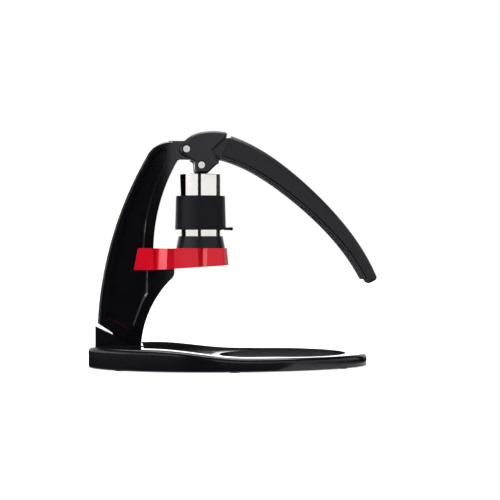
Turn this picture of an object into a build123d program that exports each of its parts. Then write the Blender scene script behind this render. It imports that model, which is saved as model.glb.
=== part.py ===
from build123d import *
import math
import os

# Manual espresso maker with a lever, in millimetres. +Z is up, the long handle points to +X.
# The origin is on the table, midway between the base's rear end and the handle's tip.

# Places of the main axes
BREW_X = -35.4
PIVOT_X = -51.4
PIVOT_Z = 234.4
FOOT_PIN_DROP = 17.1

# Base casting
BASE_X = -4.9
BASE_LENGTH = 302.5
BASE_WIDTH = 154.0
BASE_CLEARANCE = 1.0
RIM_REAR_TOP = 23.5
RIM_MIDDLE_TOP = 14.9
RIM_FRONT_TOP = 13.6
PLATFORM_TOP = 12.5
RIM_SLOPE_REAR = -92.0
RIM_SLOPE_FRONT = 10.0
RIM_WIDTH = 18.0
RIM_EDGE_RADIUS = 5.0
RING_X = 54.1
RING_LENGTH = 138.0
RING_WIDTH = 114.0
BASE_WALL = 4.0
BASE_SKIN = 3.5
RIB_WIDTH = 2.6
RIM_RIB_ANGLES = (18, 52, 72, 108, 128, 155)
BOSS_WALL = 2.5

# Rubber feet under the rim
FOOT_RADIUS = 6.0
FOOT_HEIGHT = 3.0
FOOT_ANGLES = (34, 90, 146)
FOOT_POCKET_GAP = 0.1
FOOT_CHAMFER = 0.6

# Drip tray in its well
TRAY_RADIUS = 43.0
TRAY_SETBACK = 11.5
TRAY_BRIDGE = 6.0
TRAY_GAP = 0.5
TRAY_WALL = 1.6
TRAY_RIB_PITCH = 12.0
TRAY_RIB_WIDTH = 2.4
WELL_FLOOR = 3.0

# Socket for the post
SOCKET_REAR_X = -148.8
SOCKET_PEAK_Z = 45.9
SOCKET_BEND_X = -124.0
SOCKET_SEAM = 0.4
SOCKET_HALF_WIDTH = 17.5
SOCKET_MARGIN = 2.0
TENON_REAR_X = -130.0
TENON_FRONT_X = -106.0
TENON_HALF_WIDTH = 9.0
TENON_DEPTH = 12.3
TENON_GAP = 0.2

# Post
POST_WIDTH = 30.0
POST_HEEL = (-146.2, 48.4)
POST_KNEE = (-110.0, 24.3)
POST_TOE_X = -100.0
POST_REAR_RADIUS = 396.0
POST_UPPER_RADIUS = 196.6
POST_LOWER_RADIUS = 110.0
POST_TOP_RISE = 7.7
POST_CREST_REACH = 33.0
POST_CREST_RADIUS = 29.0
POST_SETBACK = 51.4
POST_CHIN_REACH = 29.0
POST_CHIN_DROP = 8.2
POST_CHIN_RADIUS = 9.0
POST_THROAT = 8.9
POST_THROAT_RADIUS = 6.0
POST_EDGE_RADIUS = 2.5
PANEL_DEPTH = 2.5
PANEL_BEVEL = 2.1
PANEL_FRONT_BAND = 6.0
PANEL_FRONT_RISE = 55.7
TONGUE_HALF_WIDTH = 6.7
TONGUE_RADIUS = 9.5
TONGUE_LIP = (5.5, -11.4)
TONGUE_TOP_RISE = 9.0
SHOULDER_RADIUS = 16.5

# Bracket that carries the brewing head
BRACKET_TOP = 128.5
BRACKET_DEPTH = 23.2
BRACKET_REAR = 68.0
BRACKET_FRONT = 26.8
BRACKET_HALF_WIDTH = 28.0
BRACKET_CHEEK = 5.0
BRACKET_SHOULDER = 30.0
BRACKET_GROOVE = 3.5
BRACKET_DRAFT = 6.0
BRACKET_REAR_LEAN = 4.6
BRACKET_TAPER = 3.6
BRACKET_GAP = 0.2
BRACKET_BORE_GAP = 0.3

# Brewing head
CYLINDER_RADIUS = 23.0
CYLINDER_BORE = 20.0
CYLINDER_HEIGHT = 66.7
SPIGOT_LENGTH = 4.0
SPIGOT_RADIUS = 21.3
COLLAR_HEIGHT = 12.7
COLLAR_BASE_RADIUS = 26.6
COLLAR_TOP_RADIUS = 24.0
PORTAFILTER_RADIUS = 22.2
PORTAFILTER_DROP = 18.0
PORTAFILTER_FLOOR = 3.0
SPOUT_RADIUS = 5.0
BASKET_RADIUS = 19.4
BASKET_WALL = 0.8
FLANGE_RADIUS = 21.3
SCREEN_THICKNESS = 1.0
HOLE_RING_STEP = 9.0
HOLES_PER_RING = 8
HOLE_RINGS = 1
HOLE_RADIUS = 1.0
GASKET_THICKNESS = 2.0
GASKET_BORE = 19.0
HEAD_GAP = 0.2
EDGE_BREAK = 0.6
SLEEVE_BOTTOM_RISE = 6.8
SLEEVE_HEIGHT = 36.7
SLEEVE_TOP_RADIUS = 26.5
SLEEVE_BASE_RADIUS = 27.5
TAB_REACH = 8.5
TAB_THICKNESS = 2.6
TAB_WIDTH = 12.0
TAB_BEAD = 1.6

# Plunger
PISTON_RISE = 12.5
PISTON_HEIGHT = 12.0
PISTON_GAP = 0.35
SEAL_GAP = 0.1
SEAL_HEIGHT = 2.4
SEAL_DEPTH = 1.7
SEAL_RISES = (2.0, 7.6)
STEM_RADIUS = 7.0
CAP_RADIUS = 9.0
CAP_THICKNESS = 4.5
CAP_GAP = 1.0

# Lever casting
CHEEK_HALF_WIDTH = 17.5
SLOT_HALF_WIDTH = 8.0
KNUCKLE_RADIUS = 7.0
CHEEK_BEVEL = 1.8
SLOT_PIVOT_RADIUS = 14.0
SLOT_FOOT_RADIUS = 15.0
SLOT_REAR = 13.5
SLOT_FRONT = 9.0
NECK_HALF_WIDTH = 13.0
NECK_TOP = 12.1
CORE_HALF_WIDTH = 8.0
STRIP_HALF_WIDTH = 15.0
STRIP_DEPTH = 2.8
STRIP_BEVEL = 0.8

# Handle
HANDLE_ROOT = (34.2, 4.4)
HANDLE_LINE = ((71.2, -9.3), (101.8, -28.7), (157.0, -77.5), (188.8, -117.9))
HANDLE_TIP = (202.4, -143.3)
HANDLE_ROOT_DEPTH = 28.0
HANDLE_TIP_DEPTH = 14.8
HANDLE_STATIONS = 6
GRIP_START_TOP = (49.0, 14.2)
GRIP_START_LOW = (34.4, -14.2)
GRIP_HALF_WIDTH = 14.5
GRIP_TOP_RADIUS = 8.0
GRIP_WALL = 6.0
GRIP_GAP = 0.7
STRIP_END = 0.972
CORE_END = 0.925
GRIP_TIP_RADIUS = 3.5

# Pins, bushes and screws
PIN_RADIUS = 3.0
PIN_HEAD_RADIUS = 4.0
PIN_HEAD_HEIGHT = 2.0
PIN_HEAD_SINK = 0.4
PIN_HEAD_GAP = 0.8
PIN_SOCKET = 2.5
PIN_SOCKET_DEPTH = 1.4
PIN_CHAMFER = 0.4
PIN_THREAD_RADIUS = 1.8
PIN_THREAD_LENGTH = 12.0
PIN_THREAD_GAP = 0.05
RUNNING_GAP = 0.05
BUSH_RADIUS = 4.5
BUSH_FLANGE_RADIUS = 6.5
BUSH_FLANGE = 1.0
BUSH_MIDDLE_GAP = 0.2
SCREW_RADIUS = 2.5
SCREW_HEAD_RADIUS = 4.2
SCREW_HEAD_HEIGHT = 4.0
SCREW_SPACING = 14.0
SCREW_GRIP = 14.0
SCREW_CLEARANCE = 0.3
SCREW_SINK = 1.0
SCREW_KEY = 4.0
SCREW_KEY_DEPTH = 2.2
SCREW_JOIN = 0.5
GRIP_SCREW_RADIUS = 1.5
GRIP_SCREW_X = 45.0
GRIP_SCREW_HEAD = 1.8
GRIP_SCREW_SINK = 1.8
GRIP_SCREW_LENGTH = 8.0

# Push foot
PUSH_HUB_RADIUS = 7.0
PUSH_HALF_WIDTH = 7.4
PUSH_PAD_HALF = 6.5
PUSH_REACH = 12.3
PUSH_PAD_DEPTH = 3.5
PUSH_STEM_HALF = 4.5
PUSH_CORNER = 1.5

# Heights and places that follow from the sizes above
FOOT_PIN_Z = PIVOT_Z - FOOT_PIN_DROP
COLLAR_TOP = BRACKET_TOP + COLLAR_HEIGHT
SPIGOT_BOTTOM = COLLAR_TOP - SPIGOT_LENGTH
CYLINDER_TOP = COLLAR_TOP + CYLINDER_HEIGHT
GASKET_BOTTOM = SPIGOT_BOTTOM - GASKET_THICKNESS
SCREEN_BOTTOM = GASKET_BOTTOM - SCREEN_THICKNESS
BASKET_TOP = SCREEN_BOTTOM
PORTAFILTER_BOTTOM = BRACKET_TOP - PORTAFILTER_DROP
BASKET_BOTTOM = PORTAFILTER_BOTTOM + PORTAFILTER_FLOOR
CAP_TOP = FOOT_PIN_Z - PUSH_REACH - CAP_GAP
PISTON_BOTTOM = BRACKET_TOP + PISTON_RISE
PISTON_TOP = PISTON_BOTTOM + PISTON_HEIGHT
BRACKET_BORE = PORTAFILTER_RADIUS + BRACKET_BORE_GAP
POST_FRONT_X = BREW_X - POST_SETBACK
POST_TOE = (POST_TOE_X, POST_KNEE[1])
TRAY_X = BREW_X - TRAY_SETBACK
WELL_Z = BASE_CLEARANCE + WELL_FLOOR
TRAY_HEIGHT = PLATFORM_TOP - WELL_Z
FAR = 400.0

BOTTOM_ALIGN = (Align.CENTER, Align.CENTER, Align.MIN)


def region(*lines):
    """Face inside a closed chain of lines."""
    edges = []
    for line in lines:
        edges.extend(line.edges())
    return make_face(edges)


def slab(face, half_width):
    """Solid with the face as its side view, from -half_width to +half_width across."""
    return extrude(Plane.XZ.offset(-half_width) * face, amount=2 * half_width)


def disc(radius, bottom, top, x=BREW_X, y=0.0):
    """Upright round solid between two heights."""
    return Pos(x, y, bottom) * Cylinder(radius, top - bottom, align=BOTTOM_ALIGN)


def ring(outer, inner, bottom, top):
    """Upright round tube on the brewing axis."""
    return disc(outer, bottom, top) - disc(inner, bottom, top)


def cross_pin(radius, x, z, start, end):
    """Round solid along Y from one side of the maker to the other."""
    middle = Pos(x, (start + end) / 2, z)
    return middle * Rot(90, 0, 0) * Cylinder(radius, abs(end - start))


def oval(inset):
    """Outline of the base, drawn in by the inset."""
    half_length = BASE_LENGTH / 2 - inset
    half_width = BASE_WIDTH / 2 - inset
    return Pos(BASE_X, 0) * Ellipse(half_length, half_width)


def ring_opening(grow):
    """Outline of the large opening in front of the cup, grown by a margin."""
    return Pos(RING_X, 0) * Ellipse(RING_LENGTH / 2 + grow, RING_WIDTH / 2 + grow)


def tray_outline(grow):
    """Round tray with a hollow front edge that follows the opening."""
    return Pos(TRAY_X, 0) * Circle(TRAY_RADIUS + grow) - ring_opening(TRAY_BRIDGE - grow)


def rim_side_view():
    """Side view of the base, high at the rear and falling in a soft S to the front."""
    rear_low = (BASE_X - FAR, BASE_CLEARANCE)
    rear_top = (BASE_X - FAR, RIM_REAR_TOP)
    slope_top = (RIM_SLOPE_REAR, RIM_REAR_TOP)
    slope_end = (RIM_SLOPE_FRONT, RIM_MIDDLE_TOP)
    front_x = BASE_X + BASE_LENGTH / 2
    fall = (front_x - RIM_SLOPE_FRONT, RIM_FRONT_TOP - RIM_MIDDLE_TOP)
    front_top = (slope_end[0] + 2 * fall[0], slope_end[1] + 2 * fall[1])
    front_low = (front_top[0], BASE_CLEARANCE)
    slope = Spline(slope_top, slope_end, tangents=((1, 0), fall))
    return region(
        Polyline(slope_end, front_top, front_low, rear_low, rear_top, slope_top),
        slope,
    )


def rim_place(angle, side):
    """Middle of the rim's underside at an angle round the base."""
    turn = math.radians(angle)
    half_length = BASE_LENGTH / 2 - RIM_WIDTH / 2
    half_width = BASE_WIDTH / 2 - RIM_WIDTH / 2
    return (BASE_X + half_length * math.cos(turn), side * half_width * math.sin(turn))


def foot_places():
    """Six places round the rim for the rubber feet."""
    return [rim_place(angle, side) for angle in FOOT_ANGLES for side in (-1, 1)]


def socket_block():
    """Wedge and plinth that the post stands on, with a tapering gap behind the post's heel."""
    seat = POST_KNEE[1]
    heel_slope = (POST_HEEL[1] - seat) / (POST_KNEE[0] - POST_HEEL[0])
    bend_z = seat + (POST_KNEE[0] - SOCKET_BEND_X) * heel_slope - SOCKET_SEAM
    wedge = Polyline(
        (SOCKET_REAR_X, BASE_CLEARANCE),
        (SOCKET_REAR_X, SOCKET_PEAK_Z),
        (SOCKET_BEND_X, bend_z),
        (POST_KNEE[0] - SOCKET_SEAM / heel_slope, seat),
        (POST_TOE_X + SOCKET_MARGIN, seat),
        (POST_TOE_X + SOCKET_MARGIN, BASE_CLEARANCE),
        close=True,
    )
    return slab(region(wedge), SOCKET_HALF_WIDTH)


def screw_places():
    """Places along the tenon of the two screws that hold the post."""
    middle = (TENON_REAR_X + TENON_FRONT_X) / 2
    return (middle - SCREW_SPACING / 2, middle + SCREW_SPACING / 2)


def rim_hollow():
    """Space inside the rim, open below, with ribs and foot bosses left standing."""
    low = BASE_CLEARANCE
    inside = oval(BASE_WALL) - ring_opening(BASE_WALL) - tray_outline(TRAY_GAP + BASE_SKIN)
    shallow = extrude(Pos(0, 0, low) * inside, PLATFORM_TOP - BASE_SKIN - low)
    rear_zone = Pos(POST_TOE_X - BASE_WALL - FAR / 2, 0) * Rectangle(FAR, FAR)
    deep_face = (oval(BASE_WALL) & rear_zone) - tray_outline(TRAY_GAP + BASE_SKIN)
    hollow = shallow + extrude(Pos(0, 0, low) * deep_face, RIM_REAR_TOP - BASE_SKIN - low)
    socket_length = POST_TOE_X - SOCKET_REAR_X
    socket = Pos(SOCKET_REAR_X + socket_length / 2, 0)
    socket *= Rectangle(socket_length, 2 * SOCKET_HALF_WIDTH)
    hollow -= extrude(Pos(0, 0, low) * socket, RIM_REAR_TOP)
    for x, y in foot_places():
        hollow -= disc(FOOT_RADIUS + BOSS_WALL, low, RIM_REAR_TOP, x, y)
    for angle in RIM_RIB_ANGLES:
        for side in (-1, 1):
            x, y = rim_place(angle, side)
            turn = math.degrees(math.atan2(y, x - BASE_X))
            rib = Box(FAR / 8, RIB_WIDTH, RIM_REAR_TOP, align=BOTTOM_ALIGN)
            hollow -= Pos(x, y, low) * Rot(0, 0, turn) * rib
    return hollow


def base_frame():
    """Oval base casting with the socket, the tray's well and the open ring."""
    low = BASE_CLEARANCE
    body = extrude(Pos(0, 0, low) * oval(0), RIM_REAR_TOP - low)
    body &= slab(rim_side_view(), BASE_WIDTH)
    edges = body.edges().filter_by(lambda e: e.center().Z > PLATFORM_TOP)
    outer = edges.filter_by(lambda e: e.bounding_box().size.X > RIM_WIDTH)
    body = fillet(outer, RIM_EDGE_RADIUS)
    platform_rear = POST_TOE_X + SOCKET_MARGIN
    platform_zone = Pos((platform_rear + RING_X) / 2, 0) * Rectangle(RING_X - platform_rear, FAR)
    platform = oval(RIM_WIDTH) & platform_zone
    body -= extrude(Pos(0, 0, PLATFORM_TOP) * platform, RIM_REAR_TOP)
    body -= rim_hollow()
    body += socket_block()
    body -= extrude(ring_opening(0), RIM_REAR_TOP + low)
    body -= extrude(Pos(0, 0, WELL_Z) * tray_outline(TRAY_GAP), RIM_REAR_TOP)
    tenon_length = TENON_FRONT_X - TENON_REAR_X + 2 * TENON_GAP
    tenon_x = (TENON_REAR_X + TENON_FRONT_X) / 2
    tenon_foot = POST_KNEE[1] - TENON_DEPTH - TENON_GAP
    mortise = Box(tenon_length, 2 * (TENON_HALF_WIDTH + TENON_GAP), FAR / 10, align=BOTTOM_ALIGN)
    body -= Pos(tenon_x, 0, tenon_foot) * mortise
    for x in screw_places():
        body -= disc(SCREW_RADIUS + SCREW_CLEARANCE, low, tenon_foot + 1, x)
        head_top = low + SCREW_HEAD_HEIGHT + SCREW_SINK
        body -= disc(SCREW_HEAD_RADIUS + SCREW_CLEARANCE, low, head_top, x)
    for x, y in foot_places():
        body -= disc(FOOT_RADIUS + FOOT_POCKET_GAP, 0, FOOT_HEIGHT, x, y)
    return body


def base_feet():
    """Six round rubber feet pressed into the rim's underside."""
    pads = []
    for x, y in foot_places():
        pad = disc(FOOT_RADIUS, 0, FOOT_HEIGHT, x, y)
        low_edge = pad.edges().group_by(Axis.Z)[0]
        pads.append(chamfer(low_edge, FOOT_CHAMFER))
    return pads


def drip_tray():
    """Shallow dish with bars across it that the cup stands on."""
    outline = extrude(Pos(0, 0, WELL_Z) * tray_outline(0), TRAY_HEIGHT)
    inside = tray_outline(-TRAY_WALL)
    bowl = extrude(Pos(0, 0, WELL_Z + TRAY_WALL) * inside, TRAY_HEIGHT)
    count = int(TRAY_RADIUS / TRAY_RIB_PITCH)
    for index in range(-count, count + 1):
        bar = Box(FAR, TRAY_RIB_WIDTH, FAR, align=BOTTOM_ALIGN)
        bowl -= Pos(0, index * TRAY_RIB_PITCH, 0) * bar
    return outline - bowl


def bracket_underside(x):
    """Height of the bracket's underside, level at the rear and rising to the front."""
    run = max(0.0, x - POST_FRONT_X)
    return BRACKET_TOP - BRACKET_DEPTH + run * math.tan(math.radians(BRACKET_TAPER))


def post_outline():
    """Side view of the post with its chin below the bracket and its tongue at the pivot."""
    top = PIVOT_Z + POST_TOP_RISE
    crest = (PIVOT_X - POST_CREST_REACH, top)
    lip = (PIVOT_X + TONGUE_LIP[0], PIVOT_Z + TONGUE_LIP[1])
    throat = (PIVOT_X - POST_THROAT, lip[1])
    chin_x = BREW_X - POST_CHIN_REACH
    chin_top = (chin_x, bracket_underside(chin_x))
    chin_low = (chin_x, chin_top[1] - POST_CHIN_DROP)
    back_low = (POST_FRONT_X, bracket_underside(POST_FRONT_X))
    back_top = (POST_FRONT_X, BRACKET_TOP)
    shoulder = (PIVOT_X - SHOULDER_RADIUS, top)
    face = region(
        RadiusArc(POST_HEEL, crest, POST_REAR_RADIUS),
        Line(crest, shoulder),
        Line(shoulder, (PIVOT_X, top)),
        Line((PIVOT_X, top), lip),
        Line(lip, throat),
        RadiusArc(throat, back_top, -POST_UPPER_RADIUS),
        Line(back_top, back_low),
        Line(back_low, chin_top),
        Line(chin_top, chin_low),
        RadiusArc(chin_low, POST_TOE, -POST_LOWER_RADIUS),
        Line(POST_TOE, POST_KNEE),
        Line(POST_KNEE, POST_HEEL),
    )
    crest_corner = face.vertices().sort_by_distance(Vector(*crest))[0]
    face = fillet(crest_corner, POST_CREST_RADIUS)
    chin_corner = face.vertices().sort_by_distance(Vector(*chin_low))[0]
    face = fillet(chin_corner, POST_CHIN_RADIUS)
    throat_corner = face.vertices().sort_by_distance(Vector(*throat))[0]
    return fillet(throat_corner, POST_THROAT_RADIUS)


def panel_outline():
    """Recessed panel on each side of the post, pointed at the foot."""
    foot = (POST_HEEL[0] + 31.1, POST_HEEL[1] - 6.5)
    rear_low = (POST_HEEL[0] + 9.6, POST_HEEL[1] + 6.0)
    foot_front = (POST_TOE[0] - 7.8, POST_TOE[1] + 21.4)
    waist = (POST_TOE[0] + 1.7, POST_TOE[1] + 46.1)
    front_low = (POST_FRONT_X - PANEL_FRONT_BAND, POST_TOE[1] + PANEL_FRONT_RISE)
    front_mid = (POST_FRONT_X - PANEL_FRONT_BAND, bracket_underside(POST_FRONT_X))
    front_top = (POST_FRONT_X - 10.0, BRACKET_TOP)
    neck = (PIVOT_X - 24.0, PIVOT_Z - 19.4)
    head_front = (PIVOT_X - 20.5, PIVOT_Z - 2.0)
    head_top = (PIVOT_X - 24.0, PIVOT_Z + 3.4)
    head_rear = (PIVOT_X - 36.9, PIVOT_Z - 9.4)
    return region(
        Polyline(rear_low, foot, foot_front, waist, front_low, front_mid, front_top),
        RadiusArc(front_top, neck, POST_UPPER_RADIUS),
        Polyline(neck, head_front, head_top, head_rear),
        RadiusArc(head_rear, rear_low, -POST_REAR_RADIUS),
    )


def side_panel(side):
    """Pocket with bevelled walls in one side (-1 or +1) of the post."""
    outer = Plane((0, side * POST_WIDTH / 2, 0), x_dir=(1, 0, 0), z_dir=(0, side, 0))
    sketch = panel_outline()
    if side > 0:
        sketch = mirror(sketch, Plane.YZ)
        outer = Plane((0, side * POST_WIDTH / 2, 0), x_dir=(-1, 0, 0), z_dir=(0, side, 0))
    pocket = extrude(outer * sketch, amount=-PANEL_DEPTH)
    floor = pocket.faces().sort_by(Axis.Y)[0 if side > 0 else -1]
    return chamfer(floor.edges(), PANEL_BEVEL)


def post():
    """Curved post with side panels, a pivot tongue and a tenon for the base."""
    half = POST_WIDTH / 2
    body = slab(post_outline(), half)
    long_edges = body.edges().filter_by(lambda e: e.length > PIVOT_Z / 2)
    rear_edges = long_edges.filter_by(lambda e: e.bounding_box().min.X < POST_HEEL[0] + 1)
    body = fillet(rear_edges, POST_EDGE_RADIUS)
    for side in (-1, 1):
        body -= side_panel(side)
        outer = side * FAR / 4
        inner = side * TONGUE_HALF_WIDTH
        body -= cross_pin(SHOULDER_RADIUS, PIVOT_X, PIVOT_Z, inner, outer)
    beyond = Pos(PIVOT_X + FAR / 2, 0, PIVOT_Z) * Box(FAR, POST_WIDTH, 2 * TONGUE_TOP_RISE)
    end = cross_pin(TONGUE_RADIUS, PIVOT_X, PIVOT_Z, -half, half)
    body -= beyond - end
    bridge_length = SHOULDER_RADIUS + POST_EDGE_RADIUS
    bridge = Box(bridge_length, 2 * TONGUE_HALF_WIDTH, TONGUE_TOP_RISE, align=BOTTOM_ALIGN)
    body += Pos(PIVOT_X - bridge_length / 2, 0, PIVOT_Z) * bridge
    body += cross_pin(TONGUE_RADIUS, PIVOT_X, PIVOT_Z, -TONGUE_HALF_WIDTH, TONGUE_HALF_WIDTH)
    tenon_length = TENON_FRONT_X - TENON_REAR_X
    tenon_bottom = POST_KNEE[1] - TENON_DEPTH
    tenon_height = POST_HEEL[1] - tenon_bottom
    tenon = Box(tenon_length, 2 * TENON_HALF_WIDTH, tenon_height, align=BOTTOM_ALIGN)
    body += Pos(TENON_REAR_X + tenon_length / 2, 0, tenon_bottom) * tenon
    for x in screw_places():
        body -= disc(SCREW_RADIUS + RUNNING_GAP, tenon_bottom, tenon_bottom + SCREW_GRIP + 1, x)
    bush_bore = BUSH_RADIUS + RUNNING_GAP
    body -= cross_pin(bush_bore, PIVOT_X, PIVOT_Z, -POST_WIDTH, POST_WIDTH)
    bolt_end = POST_SETBACK + SCREW_GRIP + 1
    for y in (-SCREW_SPACING / 2, SCREW_SPACING / 2):
        body -= bracket_bolt(SCREW_RADIUS + RUNNING_GAP, POST_SETBACK - 1, bolt_end, y)
    return body


def bracket_bolt(radius, near, far, y):
    """Round solid along X behind the brewing axis, halfway up the bracket."""
    length = far - near
    x = BREW_X - near - length / 2
    z = BRACKET_TOP - BRACKET_DEPTH / 2
    return Pos(x, y, z) * Rot(0, 90, 0) * Cylinder(radius, length)


def bolt_seat():
    """Distance behind the brewing axis at which the bracket screws' heads seat."""
    return BRACKET_BORE + 2 * SCREW_HEAD_HEIGHT


def bracket_plan():
    """Plan of the bracket's top: faceted flanks with a groove beside the bore."""
    cheek = POST_WIDTH / 2 + BRACKET_CHEEK
    half = BRACKET_HALF_WIDTH
    flank = [
        (-BRACKET_REAR, cheek),
        (-POST_SETBACK - 1.2, cheek),
        (-POST_SETBACK + 2.7, cheek - 3.0),
        (-37.3, BRACKET_SHOULDER),
        (-30.3, half),
        (-4.9, half),
        (0.0, half - BRACKET_GROOVE),
        (5.2, half),
        (BRACKET_FRONT - 5.3, half),
        (BRACKET_FRONT - 4.3, half - 1.0),
        (BRACKET_FRONT, half - 9.0),
    ]
    mirrored = [(x, -y) for x, y in reversed(flank)]
    return Pos(BREW_X, 0) * make_face(Polyline(*flank, *mirrored, close=True))


def head_bracket():
    """Faceted bracket forked round the post, with a bore for the brewing head."""
    depth = BRACKET_DEPTH
    plan = Pos(0, 0, BRACKET_TOP) * bracket_plan()
    body = extrude(plan, amount=-depth, taper=-BRACKET_DRAFT)
    low = BRACKET_TOP - depth
    front_x = BREW_X + FAR
    rear_x = BREW_X - BRACKET_REAR
    rear_lean = Polyline(
        (rear_x, BRACKET_TOP),
        (rear_x - BRACKET_REAR_LEAN, low),
        (rear_x - FAR, low),
        (rear_x - FAR, BRACKET_TOP),
        close=True,
    )
    cheeks = POST_WIDTH + 2 * BRACKET_CHEEK
    rear_block = Box(2 * BRACKET_REAR_LEAN, cheeks, depth, align=BOTTOM_ALIGN)
    body += Pos(rear_x, 0, low) * rear_block
    body -= slab(region(rear_lean), FAR / 2)
    underside = Polyline(
        (rear_x - FAR, low - FAR),
        (rear_x - FAR, low),
        (POST_FRONT_X, low),
        (front_x, bracket_underside(front_x)),
        (front_x, low - FAR),
        close=True,
    )
    body -= slab(region(underside), FAR / 2)
    body -= disc(BRACKET_BORE, low - 1, BRACKET_TOP + 1)
    slot = Box(FAR, POST_WIDTH + 2 * BRACKET_GAP, FAR)
    body -= Pos(POST_FRONT_X - FAR / 2, 0, BRACKET_TOP) * slot
    for y in (-SCREW_SPACING / 2, SCREW_SPACING / 2):
        shank_hole = SCREW_RADIUS + SCREW_CLEARANCE
        body -= bracket_bolt(shank_hole, BRACKET_BORE - SCREW_HEAD_HEIGHT, POST_SETBACK + 2, y)
        head_hole = SCREW_HEAD_RADIUS + SCREW_CLEARANCE
        body -= bracket_bolt(head_hole, BRACKET_BORE - 2 * SCREW_HEAD_HEIGHT, bolt_seat(), y)
    return body


def hex_socket(across, depth):
    """Hexagonal hole for a key, standing on the XY plane."""
    return extrude(RegularPolygon(across / math.sqrt(3), 6), depth)


def bracket_screws():
    """Two cap screws from inside the bore into the post."""
    screws = []
    seat = bolt_seat()
    key_x = BREW_X - seat + SCREW_HEAD_HEIGHT
    key_z = BRACKET_TOP - BRACKET_DEPTH / 2
    for y in (-SCREW_SPACING / 2, SCREW_SPACING / 2):
        shank = bracket_bolt(SCREW_RADIUS, seat - SCREW_JOIN, POST_SETBACK + SCREW_GRIP, y)
        head = bracket_bolt(SCREW_HEAD_RADIUS, seat - SCREW_HEAD_HEIGHT, seat, y)
        key = Pos(key_x, y, key_z) * Rot(0, -90, 0) * hex_socket(SCREW_KEY, SCREW_KEY_DEPTH)
        screws.append(head + shank - key)
    return screws


def post_screws():
    """Two cap screws from under the base into the tenon."""
    screws = []
    seat = BASE_CLEARANCE + SCREW_HEAD_HEIGHT + SCREW_SINK
    tenon_bottom = POST_KNEE[1] - TENON_DEPTH
    for x in screw_places():
        head = disc(SCREW_HEAD_RADIUS, seat - SCREW_HEAD_HEIGHT, seat, x)
        shank = disc(SCREW_RADIUS, seat - SCREW_JOIN, tenon_bottom + SCREW_GRIP, x)
        key = Pos(x, 0, seat - SCREW_HEAD_HEIGHT) * hex_socket(SCREW_KEY, SCREW_KEY_DEPTH)
        screws.append(head + shank - key)
    return screws


def pivot_bushes():
    """Two flanged bushes, one in each side of the tongue."""
    bushes = []
    for side in (-1, 1):
        face_y = side * TONGUE_HALF_WIDTH
        outer_y = face_y + side * BUSH_FLANGE
        body = cross_pin(BUSH_RADIUS, PIVOT_X, PIVOT_Z, side * BUSH_MIDDLE_GAP, face_y)
        flange = cross_pin(BUSH_FLANGE_RADIUS, PIVOT_X, PIVOT_Z, face_y, outer_y)
        bore = cross_pin(PIN_RADIUS + RUNNING_GAP, PIVOT_X, PIVOT_Z, -POST_WIDTH, POST_WIDTH)
        bushes.append(body + flange - bore)
    return bushes


def lever_point(point):
    """Place in the side view of a point measured from the lever's pivot."""
    return (PIVOT_X + point[0], PIVOT_Z + point[1])


def pin_places():
    """Side-view places of the lever's pivot and of the push foot's pin."""
    return ((PIVOT_X, PIVOT_Z), (BREW_X, FOOT_PIN_Z))


def knuckle_outline():
    """Side view of the knuckle: a domed top, a notched front and a jaw for the push foot."""
    foot_u = BREW_X - PIVOT_X
    foot_w = -FOOT_PIN_DROP
    under = lever_point((-2.4, -6.58))
    rear = lever_point((-KNUCKLE_RADIUS, 0))
    brow = lever_point((-4.95, 4.95))
    crown = lever_point((18.4, 18.4))
    nose_top = lever_point((41.9, 18.0))
    return region(
        ThreePointArc(under, rear, brow),
        ThreePointArc(brow, lever_point((5.0, 14.2)), crown),
        ThreePointArc(crown, lever_point((29.1, 19.3)), nose_top),
        Polyline(
            nose_top,
            lever_point((43.5, 16.2)),
            lever_point((43.0, 12.7)),
            lever_point((28.0, -1.3)),
            lever_point((34.9, -15.0)),
            lever_point((foot_u + 15.2, foot_w - 0.4)),
            lever_point((foot_u + 6.8, foot_w - 8.6)),
            lever_point((foot_u - 4.8, foot_w - 8.6)),
            lever_point((foot_u - 6.8, foot_w - 6.4)),
            lever_point((foot_u - 7.6, foot_w + 3.0)),
            lever_point((3.4, -10.5)),
            under,
        ),
    )


def handle_edge(side, start, end, inset):
    """Points along the handle's upper (+1) or lower (-1) edge, drawn in by the inset."""
    middle = Spline(*[lever_point(point) for point in (HANDLE_ROOT, *HANDLE_LINE, HANDLE_TIP)])
    points = []
    for index in range(HANDLE_STATIONS):
        share = start + (end - start) * index / (HANDLE_STATIONS - 1)
        along = middle % share
        depth = HANDLE_ROOT_DEPTH + (HANDLE_TIP_DEPTH - HANDLE_ROOT_DEPTH) * share
        across = Vector(-along.Y, along.X) * side
        points.append((middle @ share) + across * (depth / 2 - inset))
    return points


def band_between(upper, lower):
    """Side view of the band between two smooth lines of points."""
    return region(
        Spline(*upper),
        Line(upper[-1], lower[-1]),
        Spline(*lower),
        Line(lower[0], upper[0]),
    )


def handle_band(start, end, top_inset, low_inset):
    """Side view of the handle between two shares of its length, drawn in at top and bottom."""
    upper = handle_edge(1, start, end, top_inset)
    lower = handle_edge(-1, start, end, low_inset)
    return band_between(upper, lower)


def strip_band(end, raised, dropped):
    """Side view of a band along the handle's lower edge."""
    return band_between(handle_edge(-1, 0, end, raised), handle_edge(-1, 0, end, -dropped))


def grip_start(height):
    """Place on the slanting line where the grip starts, at a height above the pivot."""
    share = (height - GRIP_START_LOW[1]) / (GRIP_START_TOP[1] - GRIP_START_LOW[1])
    return lever_point((GRIP_START_LOW[0] + share * (GRIP_START_TOP[0] - GRIP_START_LOW[0]), height))


def neck_outline():
    """Side view of the neck between the knuckle and the grip."""
    return region(
        Polyline(
            lever_point((20.0, NECK_TOP)),
            grip_start(NECK_TOP),
            grip_start(GRIP_START_LOW[1]),
            lever_point((31.0, -15.0)),
            lever_point((20.0, -6.0)),
            close=True,
        )
    )


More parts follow.
